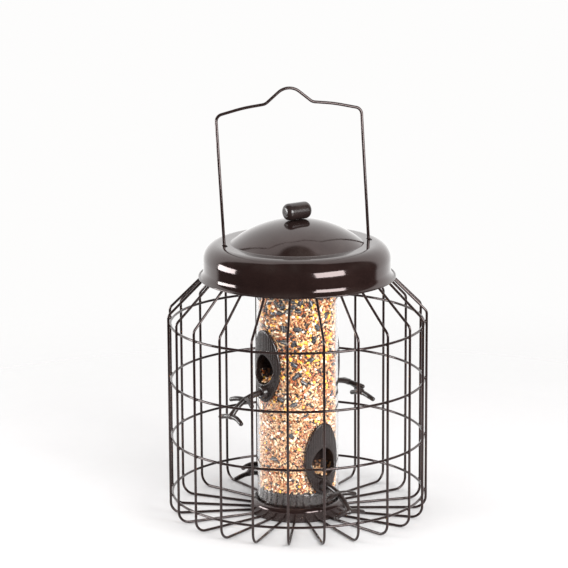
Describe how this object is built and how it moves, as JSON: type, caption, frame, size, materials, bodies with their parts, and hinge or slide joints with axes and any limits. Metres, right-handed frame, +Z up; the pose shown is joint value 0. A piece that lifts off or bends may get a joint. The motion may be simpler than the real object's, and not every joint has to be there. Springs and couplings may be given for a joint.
{
  "type": "bird feeder",
  "caption": "Clear seed tube with pointed ports and twig perches inside a round cage of welded wire, under a domed lid that lifts along a wire bail.",
  "frame": {"origin": "bottom centre, on the tube's axis at the level the base dish and the cage's foot stand on", "axes": "+Z up along the tube; +X out through one of the two upper seed ports, +Y out through one of the two lower ones"},
  "size_m": [0.2229, 0.2231, 0.37],
  "materials": {
    "enamel": "glossy dark brown enamel",
    "black_plastic": "satin near-black moulded plastic",
    "clear_plastic": "clear polished tube",
    "seed": "mixed wild bird seed",
    "zinc": "bright zinc plating"
  },
  "bodies": {
    "cage": {"cage_wire_01": "enamel", "cage_wire_02": "enamel", "cage_wire_03": "enamel", "cage_wire_04": "enamel", "cage_wire_05": "enamel", "cage_wire_06": "enamel", "cage_wire_07": "enamel", "cage_wire_08": "enamel", "cage_wire_09": "enamel", "cage_wire_10": "enamel", "cage_wire_11": "enamel", "cage_wire_12": "enamel", "cage_wire_13": "enamel", "cage_wire_14": "enamel", "cage_wire_15": "enamel", "cage_wire_16": "enamel", "cage_wire_17": "enamel", "cage_wire_18": "enamel", "cage_wire_19": "enamel", "cage_wire_20": "enamel", "cage_wire_21": "enamel", "cage_wire_22": "enamel", "cage_wire_23": "enamel", "cage_ring_01": "enamel", "cage_ring_02": "enamel", "cage_ring_03": "enamel", "cage_ring_04": "enamel", "top_ring": "enamel", "bail_eye_left": "enamel", "bail_eye_right": "enamel", "base_dish": "enamel", "base_screw": "zinc", "base_washer": "zinc", "tube_plug": "black_plastic", "feed_tube": "clear_plastic", "seed_layer_01": "seed", "seed_layer_02": "seed", "seed_layer_03": "seed", "seed_layer_04": "seed", "seed_layer_05": "seed", "port_plate_01": "black_plastic", "port_plate_02": "black_plastic", "port_plate_03": "black_plastic", "port_plate_04": "black_plastic", "port_hood_01": "black_plastic", "port_hood_02": "black_plastic", "port_hood_03": "black_plastic", "port_hood_04": "black_plastic", "perch_01": "black_plastic", "perch_02": "black_plastic", "perch_03": "black_plastic", "perch_04": "black_plastic"},
    "lid": {"lid_shell": "enamel", "lid_knob": "enamel", "knob_screw": "zinc", "knob_washer": "zinc"},
    "bail": {"bail": "enamel"}
  },
  "joints": [
    {"name": "lid_slide", "type": "slide", "parent": "cage", "child": "lid", "axis": [-0.0174, 0.067, 0.9976], "range_m": [0, 0.082]},
    {"name": "bail_swing", "type": "hinge", "parent": "cage", "child": "bail", "pos_m": [0, 0, 0.20944], "axis": [0.8957, -0.4446, 0], "range_deg": [0, 3]}
  ]
}
